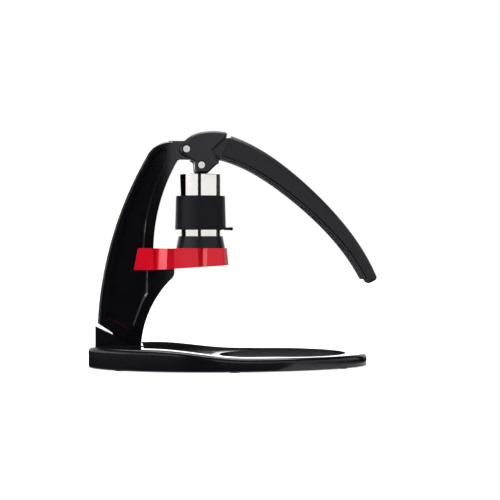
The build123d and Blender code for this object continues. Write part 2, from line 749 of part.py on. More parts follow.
def lever_slot():
    """Space between the cheeks for the post's tongue and the push foot."""
    width = SLOT_HALF_WIDTH
    foot_u = BREW_X - PIVOT_X
    open_top = Rectangle(SLOT_REAR + SLOT_FRONT, 4 * SLOT_PIVOT_RADIUS)
    slot = cross_pin(SLOT_PIVOT_RADIUS, PIVOT_X, PIVOT_Z, -width, width)
    slot += cross_pin(SLOT_FOOT_RADIUS, BREW_X, FOOT_PIN_Z, -width, width)
    slot += slab(Pos(PIVOT_X + (SLOT_FRONT - SLOT_REAR) / 2, PIVOT_Z) * open_top, width)
    below = Rectangle(2 * SLOT_FOOT_RADIUS, 2 * SLOT_FOOT_RADIUS)
    slot += slab(Pos(BREW_X, FOOT_PIN_Z - SLOT_FOOT_RADIUS) * below, width)
    bridge = Rectangle(foot_u, 2 * SLOT_FRONT)
    return slot + slab(Pos(PIVOT_X + foot_u / 2, PIVOT_Z - SLOT_FRONT) * bridge, width)


def lever_strip():
    """Flange along the handle's lower edge, a little wider than the grip it carries."""
    strip = slab(strip_band(STRIP_END, STRIP_DEPTH, 0), STRIP_HALF_WIDTH)
    side_faces = strip.faces().filter_by(Axis.Y)
    return chamfer(side_faces.edges(), STRIP_BEVEL)


def lever_arm():
    """Lever casting: forked knuckle, neck, core inside the grip and strip below it."""
    body = slab(knuckle_outline(), CHEEK_HALF_WIDTH)
    side_faces = body.faces().filter_by(Axis.Y)
    body = chamfer(side_faces.edges(), CHEEK_BEVEL)
    body += slab(neck_outline(), NECK_HALF_WIDTH)
    body += slab(handle_band(0, CORE_END, GRIP_WALL, STRIP_DEPTH - 1), CORE_HALF_WIDTH)
    body += lever_strip()
    body -= lever_slot()
    counterbore = PIN_HEAD_RADIUS + PIN_HEAD_GAP
    seat = CHEEK_HALF_WIDTH - PIN_HEAD_HEIGHT - PIN_HEAD_SINK
    for x, z in pin_places():
        body -= cross_pin(PIN_RADIUS + RUNNING_GAP, x, z, -FAR, FAR)
        for side in (-1, 1):
            body -= cross_pin(counterbore, x, z, side * seat, side * FAR)
    body -= grip_screw_solid(RUNNING_GAP)
    return body


def grip_screw_solid(gap):
    """Small screw let into the neck's top, larger by a gap where it is a hole."""
    x, z = lever_point((GRIP_SCREW_X, NECK_TOP))
    head = disc(GRIP_SCREW_HEAD + gap, z - GRIP_SCREW_SINK, z + PIN_CHAMFER, x)
    return head + disc(GRIP_SCREW_RADIUS + gap, z - GRIP_SCREW_LENGTH, z - 1.0, x)


def grip_screw():
    """Screw in the notch between the knuckle and the grip."""
    x, z = lever_point((GRIP_SCREW_X, NECK_TOP))
    return grip_screw_solid(0.0) - Pos(x, 0, z - 0.8) * hex_socket(PIN_SOCKET, PIN_SOCKET_DEPTH)


def grip_cut():
    """Side view of all that lies before the slanting line where the grip starts."""
    high = grip_start(GRIP_START_TOP[1] + HANDLE_ROOT_DEPTH)
    low = grip_start(GRIP_START_LOW[1] - HANDLE_ROOT_DEPTH)
    behind = PIVOT_X - HANDLE_ROOT_DEPTH
    return region(Polyline(high, low, (behind, low[1]), (behind, high[1]), close=True))


def lever_grip():
    """Soft grip moulded round the core, closed over the handle's tip."""
    body = slab(handle_band(0, 1, 0, 0), GRIP_HALF_WIDTH)
    body -= slab(grip_cut(), FAR / 4)
    long_edges = body.edges().filter_by(lambda e: e.length > PIVOT_Z / 2)
    top_edges = long_edges.sort_by(lambda e: e.center().Z + e.center().X)[-2:]
    body = fillet(top_edges, GRIP_TOP_RADIUS)
    tip_x = lever_point(HANDLE_TIP)[0]
    tip_edges = body.edges().filter_by(lambda e: e.center().X > tip_x + 3)
    cross_edges = tip_edges.filter_by(lambda e: e.bounding_box().size.Y > 10)
    body = fillet(cross_edges, GRIP_TIP_RADIUS)
    body -= slab(strip_band(1, STRIP_DEPTH + GRIP_GAP, STRIP_DEPTH), FAR / 4)
    return body - slab(handle_band(0, CORE_END, GRIP_WALL, -STRIP_DEPTH), CORE_HALF_WIDTH)


def pin_barrel(x, z):
    """Pin with a round head on the left cheek and a threaded end towards the right."""
    outer = CHEEK_HALF_WIDTH - PIN_HEAD_SINK
    seat = outer - PIN_HEAD_HEIGHT
    head = cross_pin(PIN_HEAD_RADIUS, x, z, -outer, -seat)
    head = chamfer(head.edges().group_by(Axis.Y)[0], PIN_CHAMFER)
    barrel = cross_pin(PIN_RADIUS, x, z, -seat - SCREW_JOIN, seat)
    thread = cross_pin(PIN_THREAD_RADIUS, x, z, seat - PIN_THREAD_LENGTH, seat + 1)
    key = Pos(x, -outer, z) * Rot(-90, 0, 0) * hex_socket(PIN_SOCKET, PIN_SOCKET_DEPTH)
    return head + barrel - thread - key


def pin_screw(x, z):
    """Screw that closes a pin from the right cheek."""
    outer = CHEEK_HALF_WIDTH - PIN_HEAD_SINK
    seat = outer - PIN_HEAD_HEIGHT
    head = cross_pin(PIN_HEAD_RADIUS, x, z, seat, outer)
    head = chamfer(head.edges().group_by(Axis.Y)[-1], PIN_CHAMFER)
    shank_end = seat - PIN_THREAD_LENGTH + SCREW_SINK
    shank = cross_pin(PIN_THREAD_RADIUS - PIN_THREAD_GAP, x, z, shank_end, seat + SCREW_JOIN)
    key = Pos(x, outer, z) * Rot(90, 0, 0) * hex_socket(PIN_SOCKET, PIN_SOCKET_DEPTH)
    return head + shank - key


def push_foot():
    """Foot on the lever's second pin that presses the plunger down."""
    low = FOOT_PIN_Z - PUSH_REACH
    hub = cross_pin(PUSH_HUB_RADIUS, BREW_X, FOOT_PIN_Z, -PUSH_HALF_WIDTH, PUSH_HALF_WIDTH)
    stem = Rectangle(2 * PUSH_STEM_HALF, PUSH_REACH, align=(Align.CENTER, Align.MIN))
    pad = Rectangle(2 * PUSH_PAD_HALF, PUSH_PAD_DEPTH, align=(Align.CENTER, Align.MIN))
    corners = pad.vertices().group_by(Axis.Y)[0]
    pad = fillet(corners, PUSH_CORNER)
    body = hub + slab(Pos(BREW_X, low) * stem, PUSH_HALF_WIDTH)
    body += slab(Pos(BREW_X, low) * pad, PUSH_HALF_WIDTH)
    return body - cross_pin(PIN_RADIUS + RUNNING_GAP, BREW_X, FOOT_PIN_Z, -FAR, FAR)


def brew_cylinder():
    """Polished cylinder with a thin spigot that enters the portafilter."""
    body = disc(CYLINDER_RADIUS, COLLAR_TOP, CYLINDER_TOP)
    body += disc(SPIGOT_RADIUS, SPIGOT_BOTTOM, COLLAR_TOP + 1)
    body -= disc(CYLINDER_BORE, SPIGOT_BOTTOM - 1, CYLINDER_TOP + 1)
    rim = body.edges().group_by(Axis.Z)[-1]
    return chamfer(rim, EDGE_BREAK)


def thermal_sleeve():
    """Rubber sleeve round the cylinder with a pull tab at its lower edge."""
    low = COLLAR_TOP + SLEEVE_BOTTOM_RISE
    cone = Cone(SLEEVE_BASE_RADIUS, SLEEVE_TOP_RADIUS, SLEEVE_HEIGHT, align=BOTTOM_ALIGN)
    body = Pos(BREW_X, 0, low) * cone
    body = chamfer(body.edges().group_by(Axis.Z)[-1], 2 * EDGE_BREAK)
    tab_end = SLEEVE_BASE_RADIUS + TAB_REACH - TAB_THICKNESS
    tab = Box(tab_end, TAB_WIDTH, TAB_THICKNESS, align=BOTTOM_ALIGN)
    body += Pos(BREW_X + tab_end / 2, 0, low) * tab
    bead_z = low + TAB_THICKNESS / 2
    body += cross_pin(TAB_BEAD, BREW_X + tab_end, bead_z, -TAB_WIDTH / 2, TAB_WIDTH / 2)
    return body - disc(CYLINDER_RADIUS + RUNNING_GAP, low - 2, low + SLEEVE_HEIGHT + 1)


def portafilter():
    """Black cup with a tapered collar that hangs in the bracket's bore."""
    collar = Cone(COLLAR_BASE_RADIUS, COLLAR_TOP_RADIUS, COLLAR_HEIGHT, align=BOTTOM_ALIGN)
    body = Pos(BREW_X, 0, BRACKET_TOP) * collar
    body += disc(PORTAFILTER_RADIUS, PORTAFILTER_BOTTOM, BRACKET_TOP + 1)
    body -= disc(FLANGE_RADIUS + HEAD_GAP, BASKET_TOP - BASKET_WALL, COLLAR_TOP + 1)
    body -= disc(BASKET_RADIUS + HEAD_GAP, BASKET_BOTTOM, COLLAR_TOP)
    return body - disc(SPOUT_RADIUS, PORTAFILTER_BOTTOM - 1, BASKET_BOTTOM + 1)


def hole_places():
    """Centres of the small holes: one in the middle and evenly spread rings round it."""
    places = [(BREW_X, 0.0)]
    for number in range(1, HOLE_RINGS + 1):
        radius = number * HOLE_RING_STEP
        count = number * HOLES_PER_RING
        for index in range(count):
            turn = 2 * math.pi * index / count
            places.append((BREW_X + radius * math.cos(turn), radius * math.sin(turn)))
    return places


def portafilter_basket():
    """Thin metal basket for the coffee, with a perforated floor."""
    body = disc(BASKET_RADIUS, BASKET_BOTTOM, BASKET_TOP)
    body += disc(FLANGE_RADIUS, BASKET_TOP - BASKET_WALL, BASKET_TOP)
    body -= disc(BASKET_RADIUS - BASKET_WALL, BASKET_BOTTOM + BASKET_WALL, BASKET_TOP + 1)
    for x, y in hole_places():
        body -= disc(HOLE_RADIUS, BASKET_BOTTOM - 1, BASKET_BOTTOM + 2, x, y)
    return body


def cylinder_gasket():
    """Flat rubber ring under the cylinder's spigot."""
    return ring(FLANGE_RADIUS, GASKET_BORE, GASKET_BOTTOM, SPIGOT_BOTTOM)


def dispersion_screen():
    """Thin perforated disc over the coffee."""
    body = disc(FLANGE_RADIUS, SCREEN_BOTTOM, GASKET_BOTTOM)
    for x, y in hole_places():
        body -= disc(HOLE_RADIUS, SCREEN_BOTTOM - 1, GASKET_BOTTOM + 1, x, y)
    return body


def plunger_piston():
    """Piston with two seal grooves."""
    radius = CYLINDER_BORE - PISTON_GAP
    body = disc(radius, PISTON_BOTTOM, PISTON_TOP)
    groove = CYLINDER_BORE - SEAL_GAP - SEAL_DEPTH - RUNNING_GAP
    for rise in SEAL_RISES:
        low = PISTON_BOTTOM + rise
        body -= ring(CYLINDER_BORE + 1, groove, low, low + SEAL_HEIGHT)
    return chamfer(body.edges().group_by(Axis.Z)[0], EDGE_BREAK)


def piston_seals():
    """Two rubber rings in the piston's grooves."""
    outer = CYLINDER_BORE - SEAL_GAP
    rings = []
    for rise in SEAL_RISES:
        low = PISTON_BOTTOM + rise
        rings.append(ring(outer, outer - SEAL_DEPTH, low, low + SEAL_HEIGHT))
    return rings


def plunger_stem():
    """Round stem between the piston and the cap."""
    return disc(STEM_RADIUS, PISTON_TOP, CAP_TOP - CAP_THICKNESS)


def plunger_cap():
    """Flat cap that the push foot presses."""
    body = disc(CAP_RADIUS, CAP_TOP - CAP_THICKNESS, CAP_TOP)
    return chamfer(body.edges().group_by(Axis.Z)[-1], EDGE_BREAK)


def save(name, shape):
    """Write one piece, or one group of like pieces, to its own file."""
    solids = []
    for item in shape if isinstance(shape, list) else [shape]:
        solids.extend(item.solids())
    whole = solids[0] if len(solids) == 1 else Compound(children=solids)
    export_step(whole, os.path.join("parts", name + ".step"))
    return solids


os.makedirs("parts", exist_ok=True)
pivot_place, foot_place = pin_places()
PIECES = {
    "base_frame": base_frame(),
    "base_feet": base_feet(),
    "drip_tray": drip_tray(),
    "post": post(),
    "post_screws": post_screws(),
    "pivot_bushes": pivot_bushes(),
    "head_bracket": head_bracket(),
    "bracket_screws": bracket_screws(),
    "lever_arm": lever_arm(),
    "lever_grip": lever_grip(),
    "grip_screw": grip_screw(),
    "lever_pivot_pin": pin_barrel(*pivot_place),
    "foot_pin": pin_barrel(*foot_place),
    "pin_screws": [pin_screw(*pivot_place), pin_screw(*foot_place)],
    "push_foot": push_foot(),
    "brew_cylinder": brew_cylinder(),
    "thermal_sleeve": thermal_sleeve(),
    "portafilter": portafilter(),
    "portafilter_basket": portafilter_basket(),
    "cylinder_gasket": cylinder_gasket(),
    "dispersion_screen": dispersion_screen(),
    "plunger_piston": plunger_piston(),
    "piston_seals": piston_seals(),
    "plunger_stem": plunger_stem(),
    "plunger_cap": plunger_cap(),
}
for piece_name, piece in PIECES.items():
    save(piece_name, piece)
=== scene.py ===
"""Looks of a manual espresso maker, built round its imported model.

The maker's sizes are in millimetres and turn to metres where a mesh is made. The studio round it
is laid out in metres. +Z is up and the lever points to +X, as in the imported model.
"""

import logging
import math
from collections.abc import Sequence
from dataclasses import dataclass, field
from enum import Enum

import bmesh
import bpy
from mathutils import Matrix, Vector

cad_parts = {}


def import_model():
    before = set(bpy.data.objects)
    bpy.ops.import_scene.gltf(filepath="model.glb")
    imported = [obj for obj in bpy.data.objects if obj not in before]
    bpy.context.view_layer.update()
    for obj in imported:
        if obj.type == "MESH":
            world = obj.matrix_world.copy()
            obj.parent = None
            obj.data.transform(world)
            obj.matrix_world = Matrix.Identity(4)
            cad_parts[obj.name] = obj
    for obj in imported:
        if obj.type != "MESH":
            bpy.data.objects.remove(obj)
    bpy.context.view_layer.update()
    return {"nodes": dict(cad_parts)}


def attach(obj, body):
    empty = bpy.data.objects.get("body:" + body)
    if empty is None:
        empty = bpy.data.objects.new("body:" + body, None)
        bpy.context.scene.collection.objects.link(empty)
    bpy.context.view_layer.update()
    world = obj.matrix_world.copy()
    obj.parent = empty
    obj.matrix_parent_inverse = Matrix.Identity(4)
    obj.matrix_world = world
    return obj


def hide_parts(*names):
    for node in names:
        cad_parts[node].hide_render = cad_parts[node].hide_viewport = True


LOG = logging.getLogger("espresso_maker")

# One millimetre in Blender's metres
MM = 0.001
# Where the brewing head's upright axis stands along X, in millimetres
BREW_X = -35.4

# Edges that turn more than this many degrees are sharp
CREASE_DEGREES = 28.0
# Facets round a turned piece
LATHE_STEPS = 128
# Facets along a curved card of the studio
CARD_STEPS = 24

# Nearly all of a noise texture's values lie between these two
NOISE_LOW = 0.3
NOISE_HIGH = 0.7
# Soft, wide patches of colour
PATCH_NOISE: dict[str | int, object] = {"Detail": 3.0, "Roughness": 0.55}
# Fine grain for roughness and relief
GRAIN_NOISE: dict[str | int, object] = {"Detail": 2.0, "Roughness": 0.6}

# Radius and height of a point on a turned profile
Corner = tuple[float, float]
# X, Y and Z of a point
Place = tuple[float, float, float]


class Body(Enum):
    """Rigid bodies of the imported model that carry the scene's own pieces."""

    ROOT = "root"
    LEVER = "lever"
    BREW_HEAD = "brew_head"
    TRAY = "tray"


def linear(code: str) -> tuple[float, float, float, float]:
    """Turn an sRGB hex value to a linear colour, by the curve of the sRGB standard.

    Args:
        code: Six hex digits, such as "c82638".

    Returns:
        Red, green, blue and an alpha of 1.
    """
    shares = [int(code[place : place + 2], 16) / 255 for place in (0, 2, 4)]
    red, green, blue = (
        share / 12.92 if share <= 0.04045 else ((share + 0.055) / 1.055) ** 2.4
        for share in shares
    )
    return (red, green, blue, 1.0)


def clean_tree(owner: bpy.types.Material | bpy.types.World) -> bpy.types.NodeTree:
    """Switch a material or a world to nodes and clear them.

    Args:
        owner: The material or world.

    Returns:
        Its empty node tree.
    """
    owner.use_nodes = True
    owner.node_tree.nodes.clear()
    return owner.node_tree


def add_node(
    tree: bpy.types.NodeTree,
    kind: str,
    settings: dict[str, object] | None = None,
    values: dict[str | int, object] | None = None,
    links: dict[str | int, bpy.types.NodeSocket] | None = None,
) -> bpy.types.Node:
    """Add a node with its settings and links.

    Args:
        tree: Node tree that takes the node.
        kind: Blender's type name of the node.
        settings: The node's own options.
        values: Values of its unlinked inputs.
        links: Output sockets that feed its inputs.

    Returns:
        The new node.
    """
    node = tree.nodes.new(kind)
    for name, value in (settings or {}).items():
        setattr(node, name, value)
    for name, value in (values or {}).items():
        node.inputs[name].default_value = value
    for name, source in (links or {}).items():
        tree.links.new(source, node.inputs[name])
    return node


@dataclass(frozen=True)
class Finish:
    """A surface with two close colours in soft patches, a roughness range and a fine relief.

    The colours are sRGB hex values. Widths of patches and grains and the depth of the relief are
    in millimetres, and a stretch below 1 draws the grain out along that axis.
    """

    name: str
    light: str
    dark: str
    roughness: tuple[float, float]
    metallic: float = 0.0
    ior: float = 1.5
    specular: float = 0.5
    patch_mm: float = 14.0
    grain_mm: float = 0.7
    relief_mm: float = 0.02
    stretch: tuple[float, float, float] = (1.0, 1.0, 1.0)

    def colour(
        self, tree: bpy.types.NodeTree, place: bpy.types.NodeSocket
    ) -> bpy.types.NodeSocket:
        """Blend the two colours in soft patches.

        Args:
            tree: Node tree of the material.
            place: Socket with the place on the piece.

        Returns:
            Socket with the colour.
        """
        patches = add_node(
            tree,
            "ShaderNodeTexNoise",
            values={"Scale": 1 / (self.patch_mm * MM), **PATCH_NOISE},
            links={"Vector": place},
        )
        ramp = add_node(tree, "ShaderNodeValToRGB", links={"Fac": patches.outputs["Fac"]})
        for stop, position, code in zip(
            ramp.color_ramp.elements, (NOISE_LOW, NOISE_HIGH), (self.dark, self.light)
        ):
            stop.position = position
            stop.color = linear(code)
        return ramp.outputs["Color"]

    def grain(
        self, tree: bpy.types.NodeTree, place: bpy.types.NodeSocket
    ) -> bpy.types.NodeSocket:
        """Draw the fine grain that the roughness and the relief share.

        Args:
            tree: Node tree of the material.
            place: Socket with the place on the piece.

        Returns:
            Socket with the grain.
        """
        stretched = add_node(
            tree, "ShaderNodeMapping", values={"Scale": self.stretch}, links={"Vector": place}
        )
        noise = add_node(
            tree,
            "ShaderNodeTexNoise",
            values={"Scale": 1 / (self.grain_mm * MM), **GRAIN_NOISE},
            links={"Vector": stretched.outputs["Vector"]},
        )
        return noise.outputs["Fac"]

    def build(self) -> bpy.types.Material:
        """Make the node material.

        Returns:
            The material, named for this finish.
        """
        material = bpy.data.materials.new(self.name)
        tree = clean_tree(material)
        place = add_node(tree, "ShaderNodeTexCoord").outputs["Object"]
        grain = self.grain(tree, place)
        smoothest, roughest = self.roughness
        rough = add_node(
            tree,
            "ShaderNodeMapRange",
            values={
                "From Min": NOISE_LOW,
                "From Max": NOISE_HIGH,
                "To Min": smoothest,
                "To Max": roughest,
            },
            links={"Value": grain},
        )
        bump = add_node(
            tree,
            "ShaderNodeBump",
            values={"Strength": 1.0, "Distance": self.relief_mm * MM},
            links={"Height": grain},
        )
        shader = add_node(
            tree,
            "ShaderNodeBsdfPrincipled",
            values={
                "Metallic": self.metallic,
                "IOR": self.ior,
                "Specular IOR Level": self.specular,
            },
            links={
                "Base Color": self.colour(tree, place),
                "Roughness": rough.outputs["Result"],
                "Normal": bump.outputs["Normal"],
            },
        )
        add_node(tree, "ShaderNodeOutputMaterial", links={"Surface": shader.outputs["BSDF"]})
        return material


class Finishes:
    """Every finish on the maker: its name, lighter and darker colour, and roughness range."""

    # Black paint on a die casting, sprayed: even, with a soft gloss and a faint orange peel
    base_paint = Finish(
        "black_sprayed_casting", "0d0d13", "0a0a10", (0.14, 0.2), grain_mm=1.1, relief_mm=0.005
    )
    # Gloss black lacquer on the post: nearly black between sharp highlights
    post_paint = Finish(
        "black_gloss_lacquer", "0c0c10", "09090c", (0.06, 0.1), grain_mm=1.4, relief_mm=0.004
    )
    # Red lacquer on a die casting: a deep red that each facet lightens or darkens by its gloss
    bracket_paint = Finish(
        "red_gloss_lacquer", "c80b22", "c20a20", (0.11, 0.16), ior=1.45, specular=0.4,
        grain_mm=0.9, relief_mm=0.005,
    )
    # Charcoal powder coat on the lever casting: satin, with a fine sandy grain
    lever_paint = Finish(
        "charcoal_powder_coat", "1b1b24", "181821", (0.3, 0.38), grain_mm=0.5, relief_mm=0.012
    )
    # Soft-touch rubber moulded on the grip: a dull, slightly grey sheen
    grip_rubber = Finish(
        "soft_touch_rubber", "15161b", "121318", (0.42, 0.5), ior=1.46, grain_mm=0.6,
        relief_mm=0.01,
    )
    # Silicone rubber sleeve, moulded: darker and duller than the grip
    sleeve_rubber = Finish(
        "black_silicone_sleeve", "0e0f15", "0b0c12", (0.46, 0.56), ior=1.41, specular=0.3,
        grain_mm=0.5, relief_mm=0.012,
    )
    # Moulded rubber feet: dull, nearly black
    foot_rubber = Finish("foot_rubber", "151515", "0e0e0e", (0.7, 0.85), grain_mm=0.4)
    # Glass-filled nylon of the portafilter, moulded: satin black
    portafilter_nylon = Finish(
        "moulded_black_nylon", "100f16", "0d0c12", (0.3, 0.4), specular=0.35, grain_mm=0.6,
        relief_mm=0.01,
    )
    # ABS of the tray, from a polished mould: glossy black
    tray_plastic = Finish("gloss_black_abs", "111114", "0d0d10", (0.14, 0.2), grain_mm=1.0)
    # Polished stainless steel: mirror-like, with hair-fine lines round it from the lathe
    cylinder_steel = Finish(
        "polished_stainless", "f3f0eb", "efece8", (0.06, 0.1), metallic=1.0, grain_mm=0.35,
        relief_mm=0.0005, stretch=(0.05, 0.05, 1.0),
    )
    # Turned stainless steel of pins and screws: bright, with a slight haze
    fastener_steel = Finish(
        "turned_stainless", "f0efed", "e6e5e3", (0.16, 0.24), metallic=1.0, grain_mm=0.3,
        relief_mm=0.003,
    )
    # Drawn stainless sheet of basket and screen: even grey with a satin haze
    basket_steel = Finish(
        "drawn_stainless_sheet", "bfbebb", "b2b1ae", (0.28, 0.4), metallic=1.0, grain_mm=0.5
    )
    # Turned brass bushes: warm yellow between the black castings
    bush_brass = Finish("turned_brass", "c8a45c", "b8944e", (0.25, 0.38), metallic=1.0)
    # Moulded acetal of the plunger and the push foot: waxy black
    acetal = Finish("moulded_black_acetal", "171718", "111112", (0.38, 0.5), grain_mm=0.5)
    # Moulded red-brown silicone of the seals: dull and warm
    seal_rubber = Finish("seal_silicone", "a03528", "8f2d22", (0.45, 0.58), grain_mm=0.4)


class Wardrobe:
    """Keeps one Blender material for each finish."""

    def __init__(self) -> None:
        """Start with no material made."""
        self.made: dict[str, bpy.types.Material] = {}

    def material(self, finish: Finish) -> bpy.types.Material:
        """Give the material of a finish, making it the first time.

        Args:
            finish: The finish to show.

        Returns:
            Its node material.
        """
        if finish.name not in self.made:
            self.made[finish.name] = finish.build()
        return self.made[finish.name]


@dataclass(frozen=True)
class StandIn:
    """The name of a piece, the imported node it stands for, its body, slot and finish."""

    name: str
    node: str
    body: Body
    slot: str
    finish: Finish


@dataclass
class Workshop:
    """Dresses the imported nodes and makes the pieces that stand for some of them."""

    nodes: dict[str, bpy.types.Object]
    wardrobe: Wardrobe = field(default_factory=Wardrobe)
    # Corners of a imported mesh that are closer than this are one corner
    weld_mm: float = 0.002
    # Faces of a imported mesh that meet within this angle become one
    flat_degrees: float = 0.4
    bevel_segments: int = 2
    # How much a piece's large faces outweigh its small ones in the shading, 50 for not at all
    shading_weight: int = 70

    def dress_nodes(self, finishes: dict[str, Finish]) -> None:
        """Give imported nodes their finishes, with their meshes left as they are.

        Args:
            finishes: The finish of each node, by the node's name.
        """
        for name, finish in finishes.items():
            materials = self.nodes[name].data.materials
            if not materials:
                materials.append(None)
            for index in range(len(materials)):
                materials[index] = self.wardrobe.material(finish)
            LOG.info("%s wears %s", name, finish.name)

    def merged_copy(self, node: str) -> bmesh.types.BMesh:
        """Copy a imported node's mesh with its loose triangles joined.

        Args:
            node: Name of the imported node.

        Returns:
            The joined copy.
        """
        mesh = bmesh.new()
        mesh.from_mesh(self.nodes[node].data)
        bmesh.ops.remove_doubles(mesh, verts=mesh.verts, dist=self.weld_mm * MM)
        flat = math.radians(self.flat_degrees)
        bmesh.ops.dissolve_limit(mesh, angle_limit=flat, verts=mesh.verts, edges=mesh.edges)
        return mesh

    def soften(self, piece: bpy.types.Object, width_mm: float, crease: float) -> None:
        """Round a piece's sharp edges with a bevel.

        Args:
            piece: The piece to soften.
            width_mm: Width of the rounding.
            crease: Edges that turn more than this, in radians, are rounded.
        """
        bevel = piece.modifiers.new("soft_edges", "BEVEL")
        bevel.width = width_mm * MM
        bevel.segments = self.bevel_segments
        bevel.limit_method = "ANGLE"
        bevel.angle_limit = crease
        bevel.harden_normals = True
        bevel.use_clamp_overlap = True

    def piece(
        self,
        mesh: bmesh.types.BMesh,
        role: StandIn,
        soften_mm: float = 0.0,
        crease_degrees: float = CREASE_DEGREES,
    ) -> None:
        """Make a piece from a bmesh, dress it and let it ride.

        Args:
            mesh: The shape, in metres, which is freed here.
            role: What the piece is called, stands for, rides on and wears.
            soften_mm: Width of the rounding along sharp edges, 0 for none.
            crease_degrees: Edges that turn more than this are sharp.
        """
        crease = math.radians(crease_degrees)
        for face in mesh.faces:
            face.smooth = True
        for edge in mesh.edges:
            edge.smooth = not edge.is_manifold or edge.calc_face_angle(0.0) < crease
        data = bpy.data.meshes.new(role.name)
        mesh.to_mesh(data)
        mesh.free()
        data.materials.append(self.wardrobe.material(role.finish))
        made = bpy.data.objects.new(role.name, data)
        bpy.context.scene.collection.objects.link(made)
        if soften_mm:
            self.soften(made, soften_mm, crease)
        shading = made.modifiers.new("even_shading", "WEIGHTED_NORMAL")
        shading.mode = "FACE_AREA"
        shading.weight = self.shading_weight
        shading.keep_sharp = True
        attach(made, role.body.value)
        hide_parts(role.node)
        LOG.info("%s rides on %s", role.name, role.body.value)

    def casting(
        self, role: StandIn, soften_mm: float, crease_degrees: float = CREASE_DEGREES
    ) -> None:
        """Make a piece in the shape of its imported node, with softer edges.

        Args:
            role: What the piece is called, stands for, rides on and wears.
            soften_mm: Width of the rounding along sharp edges.
            crease_degrees: Edges that turn more than this are sharp.
        """
        self.piece(self.merged_copy(role.node), role, soften_mm, crease_degrees)


def eased(corner: Corner, inwards: tuple[int, int], reach: float, depth: float) -> list[Corner]:
    """Round a sharp corner of a turned profile with three points.

    Args:
        corner: Radius and height of the sharp corner.
        inwards: Signs of the radius and the height that lead from it into the solid.
        reach: How far the rounding reaches along each side.
        depth: How far its middle point lies inside each side.

    Returns:
        The points, from the upright side to the level one.
    """
    radius, height = corner
    sideways, upwards = inwards
    return [
        (radius, height + upwards * reach),
        (radius + sideways * depth, height + upwards * depth),
        (radius + sideways * reach, height),
    ]


def lathe(profile: Sequence[Corner], weld_mm: float = 0.001) -> bmesh.types.BMesh:
    """Turn a closed profile round the brewing axis.

    Args:
        profile: The corners in millimetres, in order round the section.
        weld_mm: Points closer than this become one where the turn closes.

    Returns:
        The turned solid, its faces outwards.
    """
    mesh = bmesh.new()
    corners = [
        mesh.verts.new(((BREW_X + radius) * MM, 0.0, height * MM)) for radius, height in profile
    ]
    edges = [mesh.edges.new((corners[index - 1], corners[index])) for index in range(len(corners))]
    bmesh.ops.spin(
        mesh,
        geom=corners + edges,
        cent=(BREW_X * MM, 0.0, 0.0),
        axis=(0.0, 0.0, 1.0),
        angle=2 * math.pi,
        steps=LATHE_STEPS,
        use_merge=True,
    )
    bmesh.ops.remove_doubles(mesh, verts=mesh.verts, dist=weld_mm * MM)
    bmesh.ops.recalc_face_normals(mesh, faces=mesh.faces)
    return mesh


def add_block(
    mesh: bmesh.types.BMesh, low: Place, high: Place, round_mm: float, segments: int
) -> None:
    """Add a block with rounded edges to a bmesh.

    Args:
        mesh: The bmesh that takes the block.
        low: Lowest corner in millimetres.
        high: Highest corner in millimetres.
        round_mm: Radius of its edges.
        segments: Facets across each rounded edge.
    """
    size = [(upper - lower) * MM for lower, upper in zip(low, high)]
    middle = [(upper + lower) / 2 * MM for lower, upper in zip(low, high)]
    place = Matrix.Translation(middle) @ Matrix.Diagonal((*size, 1.0))
    block = bmesh.ops.create_cube(mesh, size=1.0, matrix=place)
    edges = {edge for vertex in block["verts"] for edge in vertex.link_edges}
    bmesh.ops.bevel(
        mesh,
        geom=list(edges),
        offset=round_mm * MM,
        segments=segments,
        profile=0.5,
        affect="EDGES",
        material=-1,
    )


@dataclass
class BaseUnit:
    """Oval casting with its rubber feet and the drip tray."""

    shop: Workshop
    casting_edge: float = 0.7
    tray_edge: float = 0.35

    def build(self) -> None:
        """Make and dress every piece of the base."""
        self.shop.casting(
            StandIn("base_casting", "base_frame", Body.ROOT, "base_paint", Finishes.base_paint),
            self.casting_edge,
        )
        self.shop.casting(
            StandIn("cup_tray", "drip_tray", Body.TRAY, "tray_plastic", Finishes.tray_plastic),
            self.tray_edge,
        )
        self.shop.dress_nodes({"base_feet": Finishes.foot_rubber})


@dataclass
class PostUnit:
    """Post, bracket and the hardware that joins them."""

    shop: Workshop
    post_edge: float = 0.8
    bracket_edge: float = 1.1
    # The bracket's facets turn less than other edges and still stay crisp
    facet_degrees: float = 6.0

    def build(self) -> None:
        """Make and dress the post, its bracket and their hardware."""
        self.shop.casting(
            StandIn("curved_post", "post", Body.ROOT, "post_paint", Finishes.post_paint),
            self.post_edge,
        )
        self.shop.casting(
            StandIn(
                "red_bracket", "head_bracket", Body.ROOT, "bracket_paint", Finishes.bracket_paint
            ),
            self.bracket_edge,
            self.facet_degrees,
        )
        self.shop.dress_nodes(
            {
                "post_screws": Finishes.fastener_steel,
                "bracket_screws": Finishes.fastener_steel,
                "pivot_bushes": Finishes.bush_brass,
            }
        )


@dataclass
class LeverUnit:
    """Lever casting, its grip and screw, the two pins and the push foot."""

    shop: Workshop
    casting_edge: float = 0.5
    grip_edge: float = 0.8

    def build(self) -> None:
        """Make and dress the lever's pieces."""
        self.shop.casting(
            StandIn("lever_casting", "lever_arm", Body.LEVER, "lever_paint", Finishes.lever_paint),
            self.casting_edge,
        )
        self.shop.casting(
            StandIn("hand_grip", "lever_grip", Body.LEVER, "grip_rubber", Finishes.grip_rubber),
            self.grip_edge,
        )
        self.shop.dress_nodes(
            {
                "grip_screw": Finishes.fastener_steel,
                "lever_pivot_pin": Finishes.fastener_steel,
                "foot_pin": Finishes.fastener_steel,
                "pin_screws": Finishes.fastener_steel,
                "push_foot": Finishes.acetal,
            }
        )


